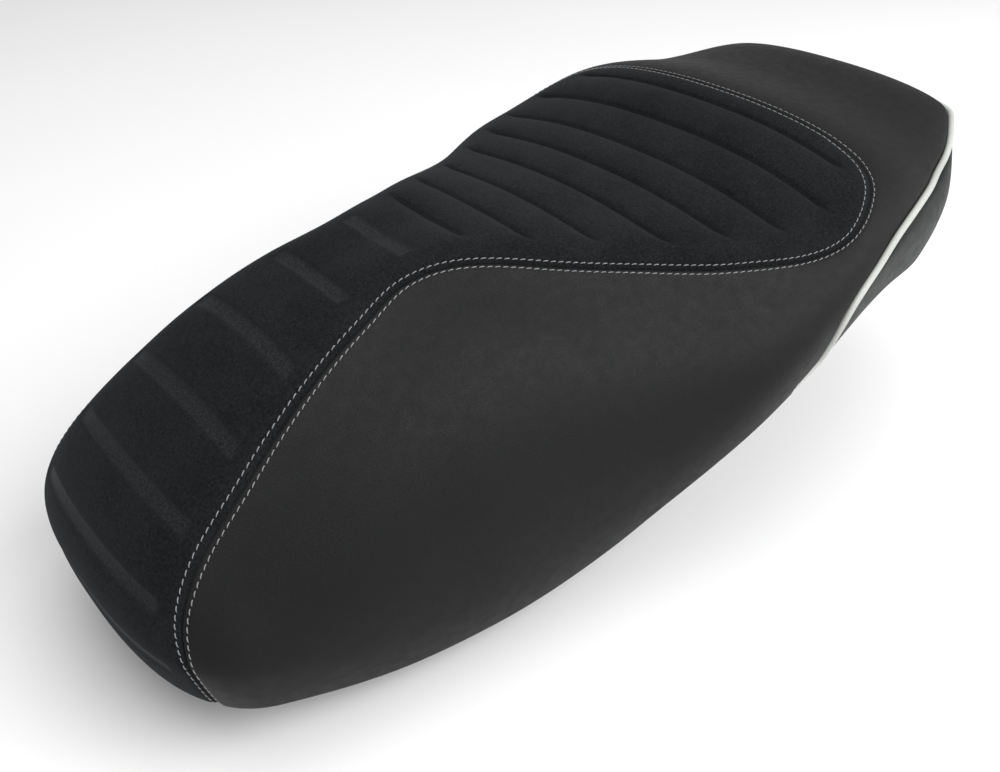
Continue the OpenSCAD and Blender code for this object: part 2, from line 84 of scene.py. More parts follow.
# The cover's lower edge hangs a little below the moulded line
RIM_DROP = 1.4
# Height of the piping, from the tail to where it meets the lower edge
PIPING = [(-350, 192), (-300, 180.5), (-240, 178), (-200, 176), (-170, 169), (-140, 155),
          (-115, 141), (-103, 128), (-95, 113), (-90, 103.5), (-82, 98.5), (-66, 91)]
# Half of the seam round the centre panel, nose to tail: (distance along the top, half width)
SEAM = [(405, 94), (372, 95), (345, 84), (315, 76), (270, 69), (225, 59.5), (180, 50.5), (143, 43.5),
        (105, 52), (60, 75), (10, 100), (-40, 131), (-90, 154), (-130, 161), (-164, 149),
        (-179, 129), (-184, 98)]
LAST = len(SEAM) - 1
SEAM_SHIFT = 0.9
# Where the side's columns meet the lower edge: (seam step, x)
EDGE = [(0, 312), (3, 280), (7, 150), (10, 20), (13, -130), (15, -262), (16, -335)]
# Rounding of the ends, in plan and in side view: (distance from the middle where it starts, power)
NOSE_PLAN, NOSE_SIDE = (297, 2.73), (110, 1.73)
TAIL_PLAN, TAIL_SIDE = (333, 3.3), (300, 2.5)
# How far the skirt tucks in at the rim, and the power of its curve
TUCK_SIDE, TUCK_NOSE, TUCK_TAIL, TUCK_POWER = 5.5, 7, 10, 1.7
# Ahead of FAN_X the lines that reach the top fan out from a point, as far as the distance FAN_END
FAN_X, FAN_Z, FAN_END = 240, 62, 405
# Ends of the spine that the level lines start from
SPINE = (-235, 225)
# Powers of the cross-section: of the width, and of the height at the middle with its change along x
WIDE_POWER, TALL_POWER = 2.3, (2.1, 0.2, 0.3)
LINE_REACH, LINE_START = 420.0, 2
HALVINGS, RIM_HALVINGS = 22, 20
TAIL_END = -335.0
RIM_ENDS = (-340, 343)
# A point well inside the seat, from which outward is told
CORE = np.array([30, 0, 60.0])


def hermite(a, b, ta, tb, u):
    """Cubic from a to b with end slopes ta and tb."""
    square, cube = u * u, u * u * u
    return ((2 * cube - 3 * square + 1) * a + (cube - 2 * square + u) * ta
            + (3 * square - 2 * cube) * b + (cube - square) * tb)


def curve(table, x):
    at, value = np.array(table, float).T
    index = np.arange(len(at))
    before, after = np.maximum(index - 1, 0), np.minimum(index + 1, len(at) - 1)
    slope = (value[after] - value[before]) / (at[after] - at[before])
    i = np.clip(np.searchsorted(at, x, side="right") - 1, 0, len(at) - 2)
    step = at[i + 1] - at[i]
    u = np.clip((x - at[i]) / step, 0, 1)
    return hermite(value[i], value[i + 1], slope[i] * step, slope[i + 1] * step, u)


def seam(k):
    """(distance along the top, half width) of the seam at k, from 0 (nose) to LAST (tail)."""
    points = np.array(SEAM, float)
    index = np.arange(len(points))
    before, after = np.maximum(index - 1, 0), np.minimum(index + 1, LAST)
    slope = (points[after] - points[before]) / (after - before)[:, None]
    i = np.clip(np.floor(k).astype(int), 0, LAST - 1)
    u = (k - i)[..., None]
    place = hermite(points[i], points[i + 1], slope[i], slope[i + 1], u)
    return place[..., 0], place[..., 1] + SEAM_SHIFT


def smooth(u):
    v = np.clip(u, 0, 1)
    return v * v * (3 - 2 * v)


def bell(distance, width):
    return np.exp(-(distance / width) ** 2)


def fade(x, start, finish, power):
    return np.maximum(1 - np.clip((x - start) / (finish - start), 0, 1) ** power, 0) ** (1 / power)


def belt(x):
    return curve(BELT, x)


def rim(x):
    return curve(RIM, x) - RIM_DROP


def half_width(x):
    return curve(WIDTH, x) * fade(x, NOSE_PLAN[0], HALF, NOSE_PLAN[1]) * fade(
        -x, TAIL_PLAN[0], HALF, TAIL_PLAN[1])


def crown(x):
    return (curve(TOP, x) - belt(x)) * fade(x, NOSE_SIDE[0], HALF, NOSE_SIDE[1]) * fade(
        -x, TAIL_SIDE[0], HALF, TAIL_SIDE[1])


def low_width(x, q):
    """Half width of the skirt, q running from 0 at its widest line to 1 at the rim."""
    tuck = np.where(x > 0, TUCK_NOSE, TUCK_TAIL)
    return half_width(x * HALF / (HALF - tuck * q)) - TUCK_SIDE * q


def inside(p):
    x, y, z = p[..., 0], np.abs(p[..., 1]), p[..., 2]
    low, width, height = belt(x), half_width(x), crown(x)
    side = TALL_POWER[0] - TALL_POWER[1] * x / HALF - TALL_POWER[2] * (x / HALF) ** 2
    rise = np.maximum(z - low, 0) / np.maximum(height, 0.01)
    above = (y / np.maximum(width, 0.01)) ** WIDE_POWER + rise ** side < 1
    q = np.minimum((np.maximum(low - z, 0) / (low - rim(x))) ** TUCK_POWER, 1)
    below = y < low_width(x, q)
    return (np.abs(x) < HALF) & np.where(z >= low, above & (width > 0.01) & (height > 0.01), below)


def hit(start, way):
    """Where lines from start along way leave the seat."""
    way = way / np.linalg.norm(way, axis=-1, keepdims=True)
    near, far = np.zeros(start.shape[:-1]), np.full(start.shape[:-1], LINE_REACH)
    for _ in range(HALVINGS):
        middle = (near + far) / 2
        within = inside(start + way * middle[..., None])
        near, far = np.where(within, middle, near), np.where(within, far, middle)
    return start + way * near[..., None]


def rim_x(y):
    """How far forward the rim reaches at y."""
    low, high = np.full(np.shape(y), float(FAN_X)), np.full(np.shape(y), HALF)
    for _ in range(RIM_HALVINGS):
        middle = (low + high) / 2
        within = np.abs(y) < low_width(middle, 1.0)
        low, high = np.where(within, middle, low), np.where(within, high, middle)
    return low


def top_ray(s, y):
    """Start and direction of the line that reaches the top at distance s.

    It points straight up, and ahead of FAN_X it fans out round the nose.
    """
    nose = rim_x(y)
    end = np.arctan2(rim(nose) - FAN_Z, nose - FAN_X)
    turn = np.clip((s - FAN_X) / (FAN_END - FAN_X), 0, None)
    angle = math.pi / 2 - turn * (math.pi / 2 - end)
    start = np.stack([np.minimum(s, FAN_X), y, np.where(s <= FAN_X, belt(s) + LINE_START, FAN_Z)], -1)
    return start, np.stack([np.cos(angle), 0 * angle, np.sin(angle)], -1)


def side_ray(plan, z):
    """Start and direction of the level line from the spine through a point of the plan."""
    x = np.clip(plan[..., 0], *SPINE)
    start = np.stack([x, 0 * x, z + 0 * x], -1)
    return start, np.stack([plan[..., 0] - x, plan[..., 1], 0 * x], -1)


def plan_left(x):
    return np.stack([x, half_width(x)], -1)


def plan_tail(v):
    """Points of the plan across the tail, v running from 1 at the left to -1 at the right."""
    y = v * half_width(np.array(TAIL_END))
    x = -HALF + (HALF - TAIL_PLAN[0]) * (
        1 - fade(np.abs(y), 0, half_width(np.array(TAIL_END + 1)), TAIL_PLAN[1]))
    return np.stack([x, y], -1)


def mirrored(points):
    """The other side's points, in the order that goes on round the seat."""
    return points[::-1] * np.array([1, -1, 1])[: points.shape[-1]]


# --- meshes ----------------------------------------------------------------------------------------
def make_mesh(name, points, faces):
    mesh = bpy.data.meshes.new(name)
    mesh.from_pydata((np.reshape(points, (-1, 3)) * MM).tolist(), [], np.asarray(faces).tolist())
    mesh.shade_smooth()
    mesh.validate()
    obj = bpy.data.objects.new(name, mesh)
    bpy.context.scene.collection.objects.link(obj)
    return obj


def grid_faces(m, n, offset=0, flip=False):
    """Quads of a grid of m rows of n points."""
    rows = np.arange(m - 1)[:, None]
    columns = np.arange(n - 1)[None, :]
    a = rows * n + columns
    b = a + 1
    d = (rows + 1) * n + columns
    quads = np.stack([a, b, d + 1, d], -1).reshape(-1, 4) + offset
    return quads[:, ::-1] if flip else quads


def normals(grid, away_from):
    """Outward unit normals of a grid of points."""
    along, across = np.gradient(grid, axis=0), np.gradient(grid, axis=1)
    normal = np.cross(along, across)
    normal /= np.maximum(np.linalg.norm(normal, axis=-1, keepdims=True), 1e-9)
    sign = np.sign((normal * (grid - away_from)).sum(-1))
    return normal * np.where(sign == 0, 1, sign)[..., None]


def shell(name, outer, inner):
    """A closed skin between two grids of the same size."""
    m, n = outer.shape[:2]
    k = m * n
    flip = np.linalg.det(np.stack([outer[m // 2 + 1, n // 2] - outer[m // 2, n // 2],
                                   outer[m // 2, n // 2 + 1] - outer[m // 2, n // 2],
                                   outer[m // 2, n // 2] - inner[m // 2, n // 2]])) < 0
    ring = np.concatenate([np.arange(n), np.arange(1, m) * n + n - 1,
                           (m - 1) * n + np.arange(n - 2, -1, -1), np.arange(m - 2, 0, -1) * n])
    after = np.roll(ring, -1)
    wall = np.stack([ring, ring + k, after + k, after], -1)
    faces = np.concatenate([grid_faces(m, n), grid_faces(m, n, k, flip=True), wall])
    if flip:
        faces = faces[:, ::-1]
    return make_mesh(name, np.concatenate([outer.reshape(-1, 3), inner.reshape(-1, 3)]), faces)


def tube(name, path, radius, sides=16):
    """A round cord along points, with closed ends."""
    n = len(path)
    way = np.gradient(path, axis=0)
    way /= np.linalg.norm(way, axis=-1, keepdims=True)
    out = np.cross(way, np.broadcast_to((0, 0, 1), way.shape))
    out /= np.linalg.norm(out, axis=-1, keepdims=True)
    up = np.cross(out, way)
    turn = np.linspace(0, 2 * math.pi, sides, endpoint=False)
    ring = np.cos(turn)[None, :, None] * out[:, None] + np.sin(turn)[None, :, None] * up[:, None]
    points = (path[:, None] + radius * ring).reshape(-1, 3)
    rows = np.arange(n - 1)[:, None] * sides
    side = np.arange(sides)[None, :]
    other = (side + 1) % sides
    quads = np.stack([rows + side, rows + sides + side, rows + sides + other, rows + other], -1)
    faces = quads.reshape(-1, 4).tolist()
    faces.append(list(range(sides)))
    faces.append([(n - 1) * sides + j for j in reversed(range(sides))])
    mesh = bpy.data.meshes.new(name)
    mesh.from_pydata((points * MM).tolist(), [], faces)
    mesh.shade_smooth()
    obj = bpy.data.objects.new(name, mesh)
    bpy.context.scene.collection.objects.link(obj)
    return obj


def even_steps(path_at, low, high, spacing, fine=4000):
    """Parameters from low to high whose points lie evenly along the path."""
    t = np.linspace(low, high, fine)
    path = path_at(t)
    length = np.concatenate([[0], np.cumsum(np.linalg.norm(np.diff(path, axis=0), axis=-1))])
    count = max(int(round(length[-1] / spacing)), 2)
    return np.interp(np.linspace(0, length[-1], count + 1), length, t)


def distance_to(path, grid):
    """Distance from each point of a grid to the nearest point of a path."""
    tree = KDTree(len(path))
    for i, p in enumerate(path):
        tree.insert(p, i)
    tree.balance()
    return np.array([tree.find(p)[2] for p in grid.reshape(-1, 3)]).reshape(grid.shape[:-1])


def paint(obj, name, values):
    """Keeps a number for each point, which a material reads."""
    attribute = obj.data.attributes.new(name, "FLOAT", "POINT")
    attribute.data.foreach_set("value", np.asarray(values, np.float32).ravel())


def seat_piece(obj, slot, *replaced):
    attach(obj, BODY)
    if replaced:
        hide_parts(*replaced)
    return obj


# --- the seam and its stitches ------------------------------------------------------------------
def seam_left(k):
    s, y = seam(k)
    return hit(*top_ray(s, y))


seam_steps = even_steps(seam_left, 0, LAST, 1.8)
left_seam = seam_left(seam_steps)
back_v = np.linspace(1, -1, 110)[1:-1]
back_s, back_y = SEAM[-1][0], SEAM[-1][1] + SEAM_SHIFT
back_seam = hit(*top_ray(np.full(back_v.shape, float(back_s)), back_v * back_y))
seam_path = np.concatenate([left_seam, back_seam, mirrored(left_seam)])

# --- centre panel -----------------------------------------------------------------------------------
CENTRE_SKIN = 1.5
# The wadding lies between these distances under the suede's skin
WADDING_TOP, WADDING_BOTTOM = 0.3, 3.3
# Distance of the stitch rows from the seam
SUEDE_ROW = 2.5
LEATHER_ROW = 2.5
# Sewn pleat lines: (x, half length)
PLEATS = [(94, 40), (60, 60), (21, 78), (-19, 101), (-55, 120), (-90, 137), (-127, 142), (-163, 128)]
PLEAT_DEPTH = 2.9
PLEAT_SHARPNESS = 2.2
PLEAT_TAPER, PLEAT_OVERRUN = 20, 4
# Length of the roll beyond the first and the last line
END_ROLL = 36
CREASE_DEPTH, CREASE_WIDTH, CREASE_END = 1.7, 1.5, 9
# Embossed bars: (distance along the top, half length)
BARS = [(132, 29), (179, 34), (225, 49), (266, 58), (310, 64), (349, 72), (377, 82)]
BAR_WIDTH = 9.0
BAR_DEPTH = 0.9
BAR_EDGE = 1.2
BAR_DIP, DIP_REACH, DIP_OVERRUN, DIP_TAPER = 0.8, 11, 8, 16


def centre_line_length(s):
    """Length along the middle of the top, measured from the tail."""
    fine = np.linspace(SEAM[-1][0], FAN_END, 1200)
    path = hit(*top_ray(fine, 0 * fine))
    length = np.concatenate([[0], np.cumsum(np.linalg.norm(np.diff(path, axis=0), axis=-1))])
    return np.interp(s, fine, length)


def pleats(s, y):
    """Rolls between the sewn lines: 0 on a roll's crest, -PLEAT_DEPTH on a line."""
    at = np.array([p[0] for p in PLEATS][::-1], float)
    reach = np.array([p[1] for p in PLEATS][::-1], float)
    low = np.concatenate([[at[0] - END_ROLL], at])
    high = np.concatenate([at, [at[-1] + END_ROLL]])
    cell = np.clip(np.searchsorted(at, s, side="right"), 0, len(at))
    u = np.clip((s - low[cell]) / (high[cell] - low[cell]), 0, 1)
    from_line = np.minimum(u, 1 - u)
    from_line = np.where(cell == 0, np.maximum(1 - u, 0), from_line)
    from_line = np.where(cell == len(at), np.maximum(u, 0), from_line)
    roll = np.clip(1 - 2 * from_line, 0, 1) ** PLEAT_SHARPNESS
    half = np.interp(s, at, reach)
    return -PLEAT_DEPTH * roll * smooth((half - np.abs(y) + PLEAT_OVERRUN) / PLEAT_TAPER)


def creases(s, y):
    """The narrow lines that the thread pulls into the pleats."""
    total = np.zeros(np.broadcast(s, y).shape)
    for x, half in PLEATS:
        total = np.maximum(total, bell(s - x, CREASE_WIDTH)
                           * smooth((half - np.abs(y)) / CREASE_END))
    return total


def bars(length, y):
    """1 inside an embossed bar, with crisp edges and square ends."""
    total = np.zeros(np.broadcast(length, y).shape)
    for s, half in BARS:
        off = np.abs(length - centre_line_length(s)) - BAR_WIDTH / 2
        beyond = np.abs(y) - half
        total = np.maximum(total, smooth(0.5 - off / BAR_EDGE) * smooth(0.5 - beyond / BAR_EDGE))
    return total


def bar_dips(length, y):
    """The padding's soft dip round each embossed bar: 1 along its middle, 0 well away from it."""
    total = np.zeros(np.broadcast(length, y).shape)
    for s, half in BARS:
        total = np.maximum(total, bell(length - centre_line_length(s), DIP_REACH)
                           * smooth((half + DIP_OVERRUN - np.abs(y)) / DIP_TAPER))
    return total


# The padding on both sides stands over the seam, which lies in a valley
VALLEY_DEPTH = 5.5
VALLEY_TAIL = 1.6
VALLEY_REACH = 9.0
# Where each begins and ends along the top: (distance, length of the change)
VALLEY_FROM, VALLEY_TO = (-150, 70), (270, 90)
SHOULDER_FROM, SHOULDER_TO = (-140, 90), (290, 100)
# Along the rider's part the seam runs on a shoulder, from which the leather falls steeply
SHOULDER_RISE = 6.0
SHOULDER_DROP = 9.0
SUEDE_SHOULDER, LEATHER_SHOULDER = 32, 9
DROP_START, DROP_REACH = 22, 85
# The drop dies out towards the rim: (height above it, length of the change)
DROP_LOW = (8, 75)
# The seam's groove, the dents under the stitches and the roll at the lower edge
GROOVE_DEPTH = 1.6
SUEDE_DENT, LEATHER_DENT = 0.35, 0.3
NOSE_ROLL = 2.6


def stretch_between(s, start, end):
    """1 from start to end along the top, changing softly at both."""
    return smooth((s - start[0]) / start[1]) * (1 - smooth((s - end[0]) / end[1]))


def valley(s, base):
    """Depth of the seam below the padding: shallow across the tail and round the nose."""
    front = stretch_between(s, VALLEY_FROM, VALLEY_TO)
    along = VALLEY_TAIL + (VALLEY_DEPTH - VALLEY_TAIL) * front
    height = base[..., 2] - rim(base[..., 0])
    return along * (0.15 + 0.85 * smooth(height / 60))


def shoulder(s):
    return stretch_between(s, SHOULDER_FROM, SHOULDER_TO)


def leather_shoulder(s, edge, base):
    """Rise of the leather beside the seam and its fall below that, for columns that start at s."""
    steps = np.linalg.norm(np.diff(base, axis=1), axis=-1)
    away = np.concatenate([np.zeros((len(base), 1)), np.cumsum(steps, 1)], 1)
    rise = SHOULDER_RISE * np.exp(-edge / LEATHER_SHOULDER)
    drop = SHOULDER_DROP * (1 - np.exp(-away / DROP_START)) * bell(away, DROP_REACH)
    above_rim = smooth((base[..., 2] - rim(base[..., 0]) - DROP_LOW[0]) / DROP_LOW[1])
    return shoulder(s) * (rise - drop * above_rim)


# Distances from the seam of the closest columns, and of the first evenly spaced one
EDGE_STEPS = np.array([0, 0.6, 1.3, 2.1, 3.0, 4.0, 5.0, 6.0, 7.2, 8.6, 10.4, 12.6])
MIDDLE_INSET = 15.0


def across_steps(half, count=64):
    """Points across a row of the centre panel, closest together near the seam."""
    half = half[:, None]
    edge = half - GAP - EDGE_STEPS[None, :]
    reach = half - GAP - MIDDLE_INSET
    middle = reach * np.linspace(1, -1, count)[None, :]
    return np.concatenate([edge, middle, -edge[:, ::-1]], 1)


# The cloth simulation of the centre panel
PRESSURE = 4.0
PUSH_LIMITS = (-0.4, 1.6)
CLOTH_FRAMES = 20
GRIP_LEVELS = 10


def stuffed(grid, normal, held):
    """The grid after the padding has pushed it out as cloth, held where it is sewn down."""
    faces = grid_faces(*grid.shape[:2])
    a, b, c = (grid.reshape(-1, 3)[faces[len(faces) // 2][i]] for i in range(3))
    if np.dot(np.cross(b - a, c - a), normal.reshape(-1, 3)[faces[len(faces) // 2][0]]) < 0:
        faces = faces[:, ::-1]
    obj = make_mesh("cover_trial", grid, faces)
    group = obj.vertex_groups.new(name="sewn")
    levels = np.round(np.clip(held, 0, 1).ravel() * GRIP_LEVELS).astype(int)
    for level in range(1, GRIP_LEVELS + 1):
        group.add(np.flatnonzero(levels == level).tolist(), level / GRIP_LEVELS, "REPLACE")
    cloth = obj.modifiers.new("cloth", "CLOTH")
    settings = cloth.settings
    settings.quality = 5
    settings.vertex_group_mass = "sewn"
    settings.tension_stiffness = 15
    settings.compression_stiffness = 15
    settings.shear_stiffness = 8
    settings.bending_stiffness = 1.0
    settings.use_pressure = True
    settings.uniform_pressure_force = PRESSURE
    settings.effector_weights.gravity = 0
    cloth.collision_settings.use_collision = False
    cloth.point_cache.frame_start, cloth.point_cache.frame_end = 1, CLOTH_FRAMES
    scene = bpy.context.scene
    for step in range(1, CLOTH_FRAMES + 1):
        scene.frame_set(step)
    ready = obj.evaluated_get(bpy.context.evaluated_depsgraph_get()).data
    moved = np.zeros(len(ready.vertices) * 3)
    ready.vertices.foreach_get("co", moved)
    moved = moved.reshape(grid.shape) / MM
    bpy.data.objects.remove(obj)
    scene.frame_set(1)
    push = np.clip(((moved - grid) * normal).sum(-1), *PUSH_LIMITS) * (1 - held)
    return grid + normal * push[..., None]


def centre_panel():
    s, half = seam(seam_steps)
    y = across_steps(half)
    s = np.broadcast_to(s[:, None], y.shape)
    base = hit(*top_ray(s, y))
    normal = normals(base, CORE)
    edge = distance_to(seam_path, base)
    height = base[..., 2] - rim(base[..., 0])
    length = centre_line_length(s)
    bar = bars(length, y)
    crease = creases(s, y)
    rise = (pleats(s, y) - CREASE_DEPTH * crease - BAR_DEPTH * bar - BAR_DIP * bar_dips(length, y)
            + valley(s, base) * (0.2 - 1.2 * np.exp(-edge / VALLEY_REACH))
            + SHOULDER_RISE * shoulder(s) * bell(edge, SUEDE_SHOULDER)
            - GROOVE_DEPTH * bell(edge, 1.8) - SUEDE_DENT * bell(edge - SUEDE_ROW, 1.0))
    rise -= NOSE_ROLL * (1 - np.clip(height / NOSE_ROLL, 0, 1)) ** 2
    # Held fast within 5 mm of the seam and on the pleat lines, and mostly on the bars
    sewn = np.maximum.reduce([bell(np.clip(edge - 5, 0, None), 6), crease, 0.8 * bar])
    outer = stuffed(base + normal * rise[..., None], normal, sewn)
    obj = shell("suede_centre", outer, outer - normal * CENTRE_SKIN)
    paint(obj, "bar", np.concatenate([bar.ravel(), bar.ravel()]))
    # The crease mask also darkens the suede's colour there, as painted shade along the pleat lines.
    paint(obj, "crease", np.concatenate([crease.ravel(), crease.ravel()]))
    seat_piece(obj, "suede", "centre_panel")
    wadding = shell("pleat_wadding", (outer - normal * (CENTRE_SKIN + WADDING_TOP))[4:, 3:-3],
                    (outer - normal * (CENTRE_SKIN + WADDING_BOTTOM))[4:, 3:-3])
    seat_piece(wadding, "wadding", "pleat_backing")
    return obj, wadding


# --- piping -----------------------------------------------------------------------------------------
PIPING_RADIUS = 2.4
PIPING_START = -66
# The leather dips beside the piping, past this distance from its line
WELT_EDGE = 2.6
WELT_DIP = 1.3
WELT_REACH = 2.0
# The piping lies this deep in its seam, and deeper where it nears the lower edge
PIPING_SINK, END_SINK, END_SINK_FROM, END_SINK_RUN = 0.4, 2.6, -104, 36
# How far its ends turn in under the rim, and how far they run on
HOOK_IN, HOOK_STEP = 6, np.array([6.0, 0, 3.5])


def piping_path(x_start=-68, spacing=2.0):
    """The line of the piping, from the left end round the tail to the right end."""
    def left(t):
        plan = plan_left(t)
        return hit(*side_ray(plan, curve(PIPING, t)))

    x = even_steps(left, x_start, TAIL_END, spacing)
    back = plan_tail(np.linspace(1, -1, 120)[1:-1])
    side = left(x)
    tail = hit(*side_ray(back, curve(PIPING, back[:, 0])))
    return np.concatenate([side, tail, mirrored(side)])


piping_line = piping_path()


def piping():
    centre = np.stack([np.clip(piping_line[:, 0], *SPINE), 0 * piping_line[:, 1], piping_line[:, 2]], -1)
    way = centre - piping_line
    way /= np.linalg.norm(way, axis=-1, keepdims=True)
    sink = PIPING_SINK + END_SINK * smooth((piping_line[:, 0] - END_SINK_FROM) / END_SINK_RUN)
    path = piping_line + sink[:, None] * way
    hook = np.linspace(0, 1, 5)[1:, None]
    ends = [path[0] + way[0] * HOOK_IN * hook ** 1.5 + HOOK_STEP * hook]
    ends.append(ends[0] * np.array([1, -1, 1]))
    obj = tube("tail_piping", np.concatenate([ends[0][::-1], path, ends[1]]), PIPING_RADIUS)
    return seat_piece(obj, "piping", "piping_cord")


# --- side and tail panels --------------------------------------------------------------------------
SIDE_SKIN = 2.2
TURN_DEPTH, TURN_HEIGHT = 1.2, 3.2
TAIL_PANEL_START = -84
# Rows from the seam (0) to the lower edge (1), closest together at both
SIDE_ROWS = np.concatenate([np.array([0, 0.5, 1.1, 1.8, 2.6, 3.5, 4.5, 5.6, 7, 9, 12]) / 120,
                            np.linspace(0.13, 0.93, 40), np.linspace(0.94, 1, 10)])


def piping_room(x):
    """Height that the piping takes up above and below its line."""
    rise = (curve(PIPING, x + 1) - curve(PIPING, x - 1)) / 2
    return (PIPING_RADIUS - 0.5) * np.sqrt(1 + rise * rise)


def side_edge_z(x):
    low = rim(np.clip(x, *RIM_ENDS))
    return np.where(x > PIPING_START, low, np.maximum(low, curve(PIPING, x) + piping_room(x)))


def turn_under(base):
    """How far the skin rolls in where it turns under at the rim."""
    height = np.clip(base[..., 2] - rim(base[..., 0]), 0, None)
    left = 1 - np.clip(height / TURN_HEIGHT, 0, 1)
    return TURN_DEPTH * (1 - np.sqrt(np.clip(1 - left ** 2, 0, 1)))


def surround_panel():
    k = even_steps(seam_left, 0, LAST, 2.8)
    s, y = seam(k)
    start_left = np.stack([s, y + GAP], -1)
    end_left = plan_left(curve(EDGE, k))
    v = np.linspace(1, -1, 76)[1:-1]
    start_back = np.stack([np.full(v.shape, back_s - GAP), v * (back_y + GAP)], -1)
    start = np.concatenate([start_left, start_back, mirrored(start_left)])
    plan = np.concatenate([end_left, plan_tail(v), mirrored(end_left)])
    top_from, top_way = top_ray(start[:, 0], start[:, 1])
    top = hit(top_from, top_way)
    z = side_edge_z(plan[:, 0])
    low_from, low_way = side_ray(plan, z)
    low = hit(low_from, low_way)
    w = SIDE_ROWS[None, :, None]
    origin = top_from[:, None] * (1 - w) + low_from[:, None] * w
    target = top[:, None] * (1 - w) + low[:, None] * w
    base = hit(origin, target - origin)
    normal = normals(base, origin)
    edge = distance_to(seam_path, base)
    welt = distance_to(piping_line, base)
    rise = (-valley(start[:, 0][:, None], base) * np.exp(-edge / VALLEY_REACH)
            + leather_shoulder(start[:, 0][:, None], edge, base)
            - GROOVE_DEPTH * bell(edge, 1.2) - LEATHER_DENT * bell(edge - LEATHER_ROW, 0.9)
            - WELT_DIP * bell(np.clip(welt - WELT_EDGE, 0, None), WELT_REACH) - turn_under(base))
    outer = base + normal * rise[..., None]
    obj = shell("leather_surround", outer, outer - normal * SIDE_SKIN)
    return seat_piece(obj, "leather", "surround_panel")


def tail_panel():
    def left(t):
        return hit(*side_ray(plan_left(t), curve(PIPING, t)))

    x = even_steps(left, TAIL_PANEL_START, TAIL_END, 2.8)
    v = np.linspace(1, -1, 84)[1:-1]
    plan = np.concatenate([plan_left(x), plan_tail(v), mirrored(plan_left(x))])
    low = rim(np.clip(plan[:, 0], *RIM_ENDS))
    top = np.maximum(curve(PIPING, plan[:, 0]) - piping_room(plan[:, 0]), low + 0.3)
    w = np.concatenate([np.linspace(0, 0.16, 8), np.linspace(0.2, 0.86, 16), np.linspace(0.89, 1, 9)])
    z = top[:, None] * (1 - w[None, :]) + low[:, None] * w[None, :]
    origin, way = side_ray(np.broadcast_to(plan[:, None], z.shape + (2,)), z)
    base = hit(origin, way)
    normal = normals(base, origin)
    welt = distance_to(piping_line, base)
    rise = -WELT_DIP * bell(np.clip(welt - WELT_EDGE, 0, None), WELT_REACH) - turn_under(base)
    outer = base + normal * rise[..., None]
    obj = shell("leather_tail", outer, outer - normal * SIDE_SKIN)
    return seat_piece(obj, "tail_leather", "tail_panel")


# --- stitches ----------------------------------------------------------------------------------------
STITCH_PITCH = 4.8
STITCH_LENGTH = 4.0
THREAD_RADIUS = 0.33
STITCH_SLANT = 0.16
# The thread stands out of the panel in the middle of a stitch and dives into it at both ends
THREAD_LIFT, THREAD_DIVE = 0.22, 0.65
THREAD_SIDES = 8
# Rings along a stitch, from end (-1) to end (1)
STITCH_RINGS = np.array([-1, -0.86, -0.55, 0, 0.55, 0.86, 1.0])
# Height above the seam from which a row is dropped onto its panel
DROP_HEIGHT = 15


def surface_tree(obj):
    points = [v.co for v in obj.data.vertices]
    return BVHTree.FromPolygons(points, [p.vertices[:] for p in obj.data.polygons])


def row_path(panel, offset):
    """Points on a panel that follow the seam at a distance, positive towards the middle."""
    tree = surface_tree(panel)
    way = np.gradient(seam_path, axis=0)
    way /= np.linalg.norm(way, axis=-1, keepdims=True)
    out = seam_path - CORE
    out[:, 1] *= 0.8
    places, ups = [], []
    for p, t, o in zip(seam_path, way, out):
        up = np.array(o) - np.dot(o, t) * t
        up /= np.linalg.norm(up)
        near = p + np.cross(up, t) * offset
        spot = tree.ray_cast(Vector((near + up * DROP_HEIGHT) * MM), Vector(-up))[0]
        if spot is None:
            continue
        places.append(np.array(spot) / MM)
        ups.append(up)
    return np.array(places), np.array(ups)


def stitches(name, panel, offset):
    """A row of separate threads laid on a panel, all in one mesh."""
    path, up = row_path(panel, offset)
    length = np.concatenate([[0], np.cumsum(np.linalg.norm(np.diff(path, axis=0), axis=-1))])
    count = int(length[-1] / STITCH_PITCH)
    middle = (np.arange(count) + 0.5) * length[-1] / count
    t = STITCH_RINGS
    at = middle[:, None] + t[None, :] * STITCH_LENGTH / 2
    centre = np.stack([np.interp(at, length, path[:, i]) for i in range(3)], -1)
    lift = np.stack([np.interp(at, length, up[:, i]) for i in range(3)], -1)
    lift /= np.linalg.norm(lift, axis=-1, keepdims=True)
    way = centre[:, -1] - centre[:, 0]
    way /= np.linalg.norm(way, axis=-1, keepdims=True)
    across = np.cross(lift, way[:, None])
    centre = centre + lift * (THREAD_LIFT - THREAD_DIVE * np.abs(t) ** 3)[None, :, None]
    centre = centre + across * (t * STITCH_SLANT * STITCH_LENGTH / 2)[None, :, None]
    radius = THREAD_RADIUS * np.sqrt(np.clip(1 - t ** 4, 0.06, 1))
    sides = THREAD_SIDES
    turn = np.linspace(0, 2 * math.pi, sides, endpoint=False)
    ring = (np.cos(turn)[None, None, :, None] * across[:, :, None]
            + np.sin(turn)[None, None, :, None] * lift[:, :, None])
    points = centre[:, :, None] + ring * radius[None, :, None, None]
    rows, each = len(t), len(t) * sides
    faces = []
    for j in range(rows - 1):
        for i in range(sides):
            k = (i + 1) % sides
            faces.append([j * sides + i, j * sides + k, (j + 1) * sides + k, (j + 1) * sides + i])
    quads = np.array(faces)
    caps = np.array([list(range(sides))[::-1], [(rows - 1) * sides + i for i in range(sides)]])
    start = (np.arange(count) * each)[:, None, None]
    all_faces = (quads[None] + start).reshape(-1, 4).tolist()
    all_faces += (caps[None] + start).reshape(-1, sides).tolist()
    mesh = bpy.data.meshes.new(name)
    mesh.from_pydata((points.reshape(-1, 3) * MM).tolist(), [], all_faces)
    mesh.shade_smooth()
    obj = bpy.data.objects.new(name, mesh)
    bpy.context.scene.collection.objects.link(obj)
    return seat_piece(obj, "thread")


